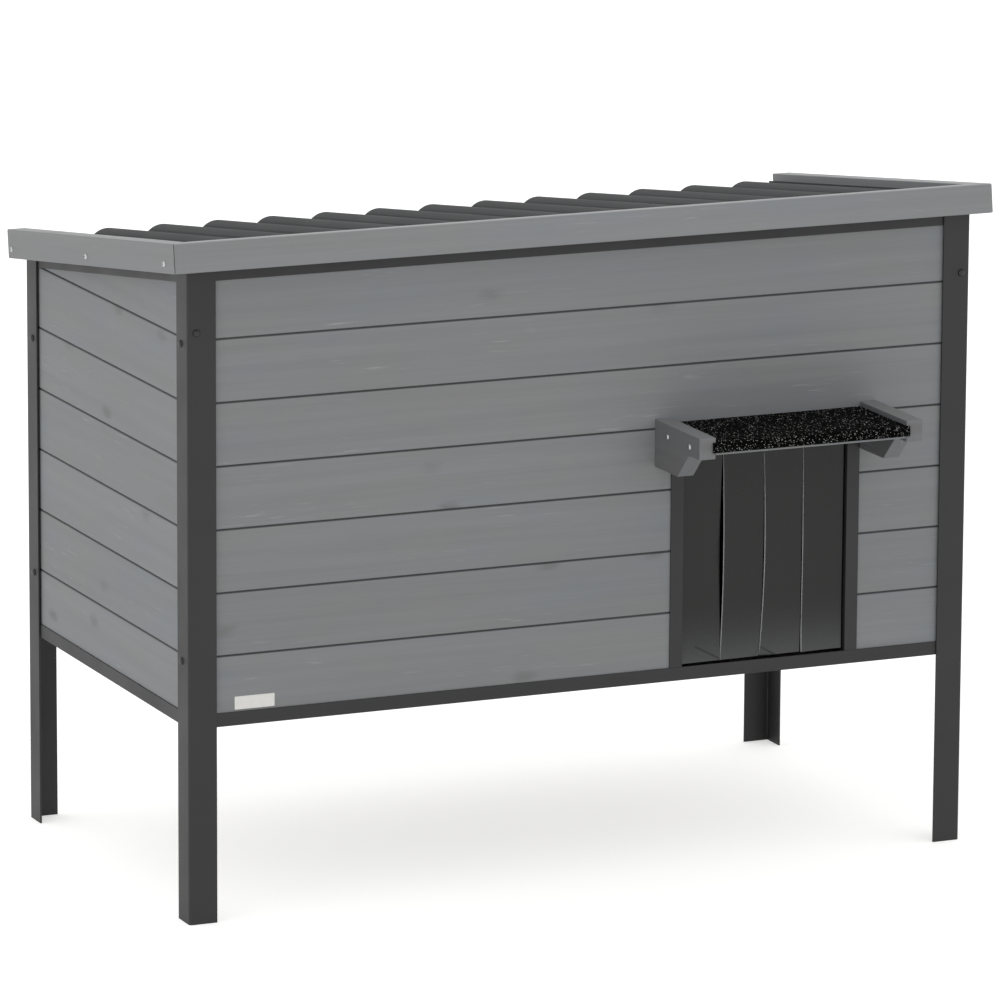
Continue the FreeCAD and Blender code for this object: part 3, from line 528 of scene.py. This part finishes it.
def eased(node, material, ease, sides=None, tops=None, mitre_gap=0.0):
    """A CAD piece with its sharp edges rounded as its maker would; its sides and tops may take
    materials of their own, which paint light or shade on them."""
    found = solids(node)
    for number, mesh in enumerate(found):
        if mitre_gap:
            mitres = [face for face in mesh.faces
                      if abs(face.normal.x) > FACES_BOTH and abs(face.normal.y) > FACES_BOTH]
            for face in mitres:
                bmesh.ops.translate(mesh, vec=face.normal * -mitre_gap, verts=face.verts)
        left_sharp = hollows(mesh)
        corners = [edge for edge in mesh.edges
                   if edge not in left_sharp and edge.calc_face_angle() > SHARP]
        radius = ease * (1.0 + EASE_STEP * (number % 2))
        shaded(mesh, round_off(mesh, corners, radius))
    mesh = together(found)
    for face in mesh.faces:
        if tops and face.normal.z > FACES_UP:
            face.material_index = 2
        elif abs(face.normal.x) > FACES_SIDE:
            face.material_index = 1
    materials = [material, sides or material, tops or material]
    piece(node + "_finished", mesh, materials, BODY_OF[node], [node])


for side in ("left", "right"):
    for node in ("leg_front_", "leg_rear_", "bottom_rail_", "top_rail_", "door_jamb_"):
        eased(node + side, FRAME_STEEL, STEEL_EASE)
    for node in ("corner_post_front_", "corner_post_rear_"):
        eased(node + side, POST_FIR, TIMBER_EASE)
    # the tops of the side fascias take painted light
    eased("fascia_" + side, FASCIA_SIDE_FIR, TIMBER_EASE, tops=FASCIA_SIDE_LIT_TOP_FIR,
          mitre_gap=MITRE_GAP)
    # the sides of the brackets take painted shade
    eased("awning_bracket_" + side, BRACKET_FIR, TIMBER_EASE,
          sides=BRACKET_SHADED_SIDE_FIR)
for node in ("bottom_rail_front", "bottom_rail_rear", "top_rail_front", "top_rail_rear",
             "door_head", "curtain_clamp_bar"):
    eased(node, FRAME_STEEL, STEEL_EASE)
for node in ("front_boards_left_of_door", "front_boards_right_of_door", "front_board_5",
             "front_board_6", "front_board_7"):
    eased(node, FRONT_FIR, BOARD_EASE)
for side, fir in (("left", LEFT_FIR), ("right", RIGHT_FIR)):
    for node in ("_wall_boards", "_gable_board"):
        eased(side + node, fir, BOARD_EASE)
eased("rear_wall_boards", REAR_FIR, BOARD_EASE)
# the top of the front fascia takes painted light
eased("fascia_front", FASCIA_FIR, TIMBER_EASE, tops=FASCIA_LIT_TOP_FIR,
      mitre_gap=MITRE_GAP)
for node in ("lid_batten_front", "lid_batten_middle", "lid_batten_rear", "curtain_header"):
    eased(node, BATTEN_FIR, TIMBER_EASE)
eased("awning_board", AWNING_FIR, TIMBER_EASE)
eased("floor_panel", PLYWOOD, BOARD_EASE)
# the sheet's top faces take painted shade low between the crests
eased("roof_sheet", ROOF_PVC, SHEET_EASE, tops=ROOF_TOP_PVC)
for node in ("hinge_lid_leaves", "hinge_frame_leaves", "hinge_pins"):
    eased(node, ZINC, HINGE_EASE)


# Awning felt

FOLD_R = 1.8 * MM               # outside of the fold over the front edge of the awning board
FOLD_FACETS = 5


def awning_felt():
    """The felt with a soft fold where it turns down over the board's front edge."""
    mesh, = solids("awning_felt")
    low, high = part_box("awning_felt")
    front_top = [edge for edge in mesh.edges
                 if all(v.co.y < low.y + NEAR and v.co.z > high.z - NEAR for v in edge.verts)]
    round_off(mesh, front_top, FOLD_R, FOLD_FACETS)
    corners = [edge for edge in mesh.edges if edge.calc_face_angle() > SHARP]
    round_off(mesh, corners, SHEET_EASE)
    shaded(mesh)
    piece("awning_felt_finished", mesh, [FELT], "house", ["awning_felt"])


awning_felt()


# Slit curtain: each strip runs up into the clamp, bends below it and curls as soft PVC does

STRIP_T = 2.0 * MM
STRIP_CELLS = (40, 200)         # across and down
ROWS_CLOSE = 1.5                # how much closer the rows lie towards the foot
FOOT = 0.9999                   # share of the fall at the foot; the belly's sine is still above 0
CREASE_W = 0.7                  # half the width of the painted shade in a crease, mm
CREASE_FADE = 2.0               # length over which it fades at each end, mm
SWAY = 0.35                     # slow wave down a strip, mm
SWAY_LENGTH = 5.2               # how far the wave goes round from clamp to foot, in radians
SWAY_STEP = 1.7                 # and from one strip to the next
FACES_FRONT = 0.6               # least Y of the normal of a strip's front or back

# How far (mm) the left and right sides of each strip run to the right of a straight cut: all the
# way down, half-way down and at the foot
STRIP_SIDES = {
    1: ((0.0, 0.0, 0.0), (-0.9, -0.5, -1.0)),
    2: ((-0.9, 1.8, -1.2), (-1.0, 2.1, -2.8)),
    3: ((-1.0, 2.4, -2.6), (-2.2, 0.2, -0.4)),
    4: ((-2.2, 0.6, 0.2), (-1.6, 0.0, 0.0)),
}

# How far (mm) the left and right sides of each strip curl forward half-way down, and then at the
# foot
STRIP_CURLS = {
    1: ((0.0, -3.4), (0.3, 0.6)),
    2: ((1.2, -0.6), (0.8, -0.6)),
    3: ((1.4, -0.6), (0.8, -0.6)),
    4: ((1.2, 0.0), (1.0, 0.3)),
}

# A crease from one point to another (mm from the left side, mm above the foot), the forward slope
# of the corner below it and how dark the painted shade in it is
STRIP_CREASES = {
    1: ((15.0, 16.5), (43.0, 1.5), 0.08, 0.8),
    2: ((37.0, 0.0), (45.0, 8.0), -0.06, 0.3),
    3: ((0.5, 9.4), (17.6, 0.0), -0.22, 0.8),
    4: ((0.0, 26.0), (30.0, 0.0), 0.04, 0.0),
}


def drift(side, fall):
    """How far a side of a strip runs to the right, in mm."""
    always, halfway, foot = side
    return always + halfway * math.sin(math.pi * fall) + foot * fall ** 4


def crease_at(number, across, above):
    """Distance of a point below the crease of a strip in mm, and the painted shade in the crease
    there.
    """
    first, second, _, crease_shade = STRIP_CREASES[number]
    run = (second[0] - first[0], second[1] - first[1])
    off = (across - first[0], above - first[1])
    length = math.hypot(*run)
    below = (run[1] * off[0] - run[0] * off[1]) / length
    along = (run[0] * off[0] + run[1] * off[1]) / length
    inside = min(along, length - along) / CREASE_FADE + 0.5
    return below, crease_shade * min(max(inside, 0.0), 1.0) * math.exp(-(below / CREASE_W) ** 2)


def curl(number, share, fall, below):
    """How far forward a point of a strip comes, in mm."""
    halfway, foot = STRIP_CURLS[number]
    belly = math.sin(math.pi * fall) ** 1.4
    left = (1 - share) ** 2 * (halfway[0] * belly + foot[0] * fall ** 3)
    right = share ** 2 * (halfway[1] * belly + foot[1] * fall ** 3)
    sway = SWAY * math.sin(SWAY_LENGTH * fall + SWAY_STEP * number) * fall
    slope = STRIP_CREASES[number][2]
    return left + right + sway + slope * max(below, 0.0)


def curtain_strip(number):
    """A strip from inside the clamp to just above the sill."""
    node = "door_strip_%d" % number
    low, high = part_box(node)
    clamp_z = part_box("curtain_clamp_bar")[0].z
    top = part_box("curtain_top_band")[1].z
    mesh = bmesh.new()
    bmesh.ops.create_grid(mesh, x_segments=STRIP_CELLS[0], y_segments=STRIP_CELLS[1], size=0.5)
    # painted shade along each crease, kept on the points of the strip
    crease_shade = mesh.verts.layers.float.new("crease")
    for vert in mesh.verts:
        share, rise = vert.co.x + 0.5, max(vert.co.y + 0.5, 0.0) ** ROWS_CLOSE
        z = low.z + rise * (top - low.z)
        fall = min(max((clamp_z - z) / (clamp_z - low.z), 0.0), FOOT)
        left, right = (edge + drift(side, fall) * MM
                       for edge, side in zip((low.x, high.x), STRIP_SIDES[number]))
        x = left + share * (right - left)
        below, vert[crease_shade] = crease_at(number, (x - left) / MM, (z - low.z) / MM)
        vert.co = (x, low.y - curl(number, share, fall, below) * MM, z)
    bmesh.ops.recalc_face_normals(mesh, faces=mesh.faces)
    if sum(face.normal.y for face in mesh.faces) > 0:
        bmesh.ops.reverse_faces(mesh, faces=mesh.faces)
    bmesh.ops.solidify(mesh, geom=mesh.faces, thickness=STRIP_T)
    for face in mesh.faces:
        face.smooth = True
        face.material_index = 0 if abs(face.normal.y) > FACES_FRONT else 1
    for edge in mesh.edges:
        edge.smooth = len({face.material_index for face in edge.link_faces}) == 1
    strip = piece("curtain_strip_%d" % number, mesh, [PVC, PVC_EDGE], None,
                  [node, "curtain_top_band"])
    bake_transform(strip)
    left, right = STRIP_SIDES[number]


for number in STRIP_CURLS:
    curtain_strip(number)


# Fasteners

TURN_STEPS = 36
# Outline of a domed head from its middle to its seat, as shares of its radius and height
DOME = [(0.0, 1.0), (0.35, 0.96), (0.62, 0.84), (0.80, 0.66), (0.93, 0.42), (1.0, 0.14), (1.0, 0.0)]
RECESS_WAIST = 0.42             # a cross recess between its arms, as a share of their length
RECESS_WALL = 0.02              # how far its wall leans in, as a share of the head's radius


def cross_recess(angle):
    """Radius of a cross recess by angle, as a share of its arms."""
    return RECESS_WAIST + (1 - RECESS_WAIST) * abs(math.cos(2 * angle)) ** 3


def turned_fastener(length, shank_r, head_r, head_h, recess):
    """A domed head on a plain shank, turned about Z with its seat at the origin; a screw has a
    cross recess, whose arms are a share of the head's radius."""
    dome = DOME
    if recess:
        dome = [(0.0, 0.40), (recess - RECESS_WALL, 0.42), (recess, 0.92)] + DOME[2:]
    points = [(r * head_r, h * head_h) for r, h in dome]
    points += [(shank_r, 0.0), (shank_r, -length), (0.0, -length)]
    mesh = bmesh.new()
    verts = [mesh.verts.new((r, 0.0, h)) for r, h in points]
    edges = [mesh.edges.new(pair) for pair in zip(verts, verts[1:])]
    bmesh.ops.spin(mesh, geom=verts + edges, cent=(0, 0, 0), axis=(0, 0, 1), angle=2 * math.pi,
                   steps=TURN_STEPS, use_merge=True)
    bmesh.ops.remove_doubles(mesh, verts=mesh.verts, dist=WELD)
    bmesh.ops.recalc_face_normals(mesh, faces=mesh.faces)
    for vert in mesh.verts:
        out = math.hypot(vert.co.x, vert.co.y)
        if WELD < out < (recess + RECESS_WALL / 2) * head_r and vert.co.z > 0:
            size = cross_recess(math.atan2(vert.co.y, vert.co.x))
            vert.co.x *= size
            vert.co.y *= size
    return mesh


def fasteners(node, material, shank_r, head_r, head_h, recess):
    """Replaces the plain fasteners of a CAD node, each at its own place."""
    made = []
    for solid in solids(node):
        points = [vert.co.copy() for vert in solid.verts]
        solid.free()
        low = Vector([min(p[i] for p in points) for i in range(3)])
        high = Vector([max(p[i] for p in points) for i in range(3)])
        middle = (low + high) / 2
        axis = max(range(3), key=lambda i: high[i] - low[i])
        along = Vector([i == axis for i in range(3)])
        spread = {}
        for end in (low[axis], high[axis]):
            at_end = [p for p in points if abs(p[axis] - end) < NEAR]
            spread[end] = max((p - middle).cross(along).length for p in at_end)
        head_end = max(spread, key=spread.get)
        facing = 1 if head_end > middle[axis] else -1
        out = Vector([(i == axis) * facing for i in range(3)])
        seat = middle.copy()
        seat[axis] = head_end - facing * head_h
        one = turned_fastener(high[axis] - low[axis] - head_h, shank_r, head_r, head_h, recess)
        turn = out.to_track_quat("Z", "Y").to_matrix().to_4x4()
        bmesh.ops.transform(one, matrix=Matrix.Translation(seat) @ turn, verts=one.verts)
        made.append(one)
    mesh = together(made)
    shaded(mesh)
    piece(node + "_finished", mesh, [material], BODY_OF[node], [node])


fasteners("leg_bolts", BOLT_STEEL, shank_r=2.0 * MM, head_r=3.7 * MM, head_h=2.6 * MM,
          recess=0.0)
for node in ("awning_screws", "fascia_screws", "curtain_screws"):
    fasteners(node, ZINC, shank_r=1.8 * MM, head_r=3.0 * MM, head_h=1.8 * MM,
              recess=0.56)


# Bare plate at the lower left of the front

PLATE_X = (-379.0 * MM, -336.3 * MM)
PLATE_Z = (215.9 * MM, 229.2 * MM)
PLATE_T = 0.6 * MM
PLATE_CORNER = 1.0 * MM
PLATE_CORNER_FACETS = 4
PLATE_RIM = 0.7 * MM
PLATE_STEP = 0.15 * MM          # how far the field lies below the rim
PLATE_EASE = 0.12 * MM
PLATE_SHARP = math.radians(60)
FACES_FORWARD = -0.9            # greatest Y of the normal of the plate's front


def bare_plate():
    """A small stamped plate with nothing on it, its rim a little proud."""
    face_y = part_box("front_boards_left_of_door")[0].y
    size = Vector((PLATE_X[1] - PLATE_X[0], PLATE_T, PLATE_Z[1] - PLATE_Z[0]))
    middle = Vector((sum(PLATE_X) / 2, face_y - PLATE_T / 2, sum(PLATE_Z) / 2))
    mesh = bmesh.new()
    bmesh.ops.create_cube(mesh, size=1.0)
    bmesh.ops.scale(mesh, vec=size, verts=mesh.verts)
    bmesh.ops.translate(mesh, vec=middle, verts=mesh.verts)
    through = [edge for edge in mesh.edges
               if abs(edge.verts[0].co.y - edge.verts[1].co.y) > PLATE_T / 2]
    round_off(mesh, through, PLATE_CORNER, PLATE_CORNER_FACETS)
    front = [face for face in mesh.faces if face.normal.y < FACES_FORWARD]
    bmesh.ops.inset_region(mesh, faces=front, thickness=PLATE_RIM, depth=0.0)
    field = [face for face in mesh.faces if face.normal.y < FACES_FORWARD and len(face.verts) > 4]
    bmesh.ops.inset_region(mesh, faces=field, thickness=PLATE_STEP, depth=-PLATE_STEP)
    corners = [edge for edge in mesh.edges if edge.calc_face_angle() > PLATE_SHARP]
    round_off(mesh, corners, PLATE_EASE)
    shaded(mesh)
    plate = placed("bare_plate", mesh, [ENAMEL])
    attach(plate, "house")


bare_plate()


# Stage, light and camera

FLOOR_R = 14.0
FLOOR_SIDES = 96
FLOOR_GLOW = 0.54               # lifts the pale floor to white where it is looked at
WORLD_LIGHT = 0.85
SUN_FROM = (-1.0, -0.15, 0.35)
SUN_STRENGTH = 0.28
SUN_SPREAD = math.radians(60)
CAMERA_PLACE = (-3.0776, -6.9410, 2.0471)
YAW, PITCH, ROLL = math.radians(23.813), math.radians(12.525), math.radians(0.319)
LENS, SENSOR = 272.40, 36.0     # mm

scene.view_settings.view_transform = "Standard"


def seen_directly(tree):
    """1 for what the camera, a gloss or clear plastic looks at, 0 for the light that falls on
    things."""
    rays = add(tree, "LightPath", {}).outputs
    seen = add(tree, "Math", {0: rays["Is Camera Ray"], 1: rays["Is Glossy Ray"]},
               operation="MAXIMUM")
    return add(tree, "Math", {0: seen, 1: rays["Is Transmission Ray"]}, operation="MAXIMUM")


def studio_floor():
    """Pale matt floor: white where it is looked at, with the soft shadow of the house."""
    material, tree, shader = new_material("studio_floor")
    glow = add(tree, "Math", {0: seen_directly(tree), 1: FLOOR_GLOW}, operation="MULTIPLY")
    feed(tree, shader, {"Base Color": srgb("#eaeae8"), "Roughness": 0.9, "Specular IOR Level": 0.0,
                        "Emission Color": WHITE, "Emission Strength": glow})
    mesh = bmesh.new()
    bmesh.ops.create_circle(mesh, cap_ends=True, segments=FLOOR_SIDES, radius=FLOOR_R)
    floor = placed("studio_floor", mesh, [material])


studio_floor()

world = bpy.data.worlds.new("studio")
world.use_nodes = True
scene.world = world
bright = add(world.node_tree, "MapRange", {"Value": seen_directly(world.node_tree),
                                           "To Min": WORLD_LIGHT, "To Max": 1.0})
feed(world.node_tree, world.node_tree.nodes["Background"], {"Color": WHITE, "Strength": bright})

# Soft light from the left
sun = bpy.data.objects.new("light_from_left", bpy.data.lights.new("light_from_left", "SUN"))
sun.data.energy = SUN_STRENGTH
sun.data.angle = SUN_SPREAD
sun.rotation_mode = "QUATERNION"
sun.rotation_quaternion = Vector(SUN_FROM).to_track_quat("Z", "Y")
scene.collection.objects.link(sun)

forward = Vector((math.sin(YAW) * math.cos(PITCH), math.cos(YAW) * math.cos(PITCH),
                  -math.sin(PITCH)))
level = Vector((math.cos(YAW), -math.sin(YAW), 0.0))
plumb = forward.cross(level)
right = math.cos(ROLL) * level - math.sin(ROLL) * plumb
down = math.sin(ROLL) * level + math.cos(ROLL) * plumb
camera = bpy.data.objects.new("camera", bpy.data.cameras.new("camera"))
camera.data.sensor_width = SENSOR
camera.data.lens = LENS
turned = Matrix((right, -down, -forward)).transposed().to_4x4()
camera.matrix_world = Matrix.Translation(CAMERA_PLACE) @ turned
scene.collection.objects.link(camera)
scene.camera = camera
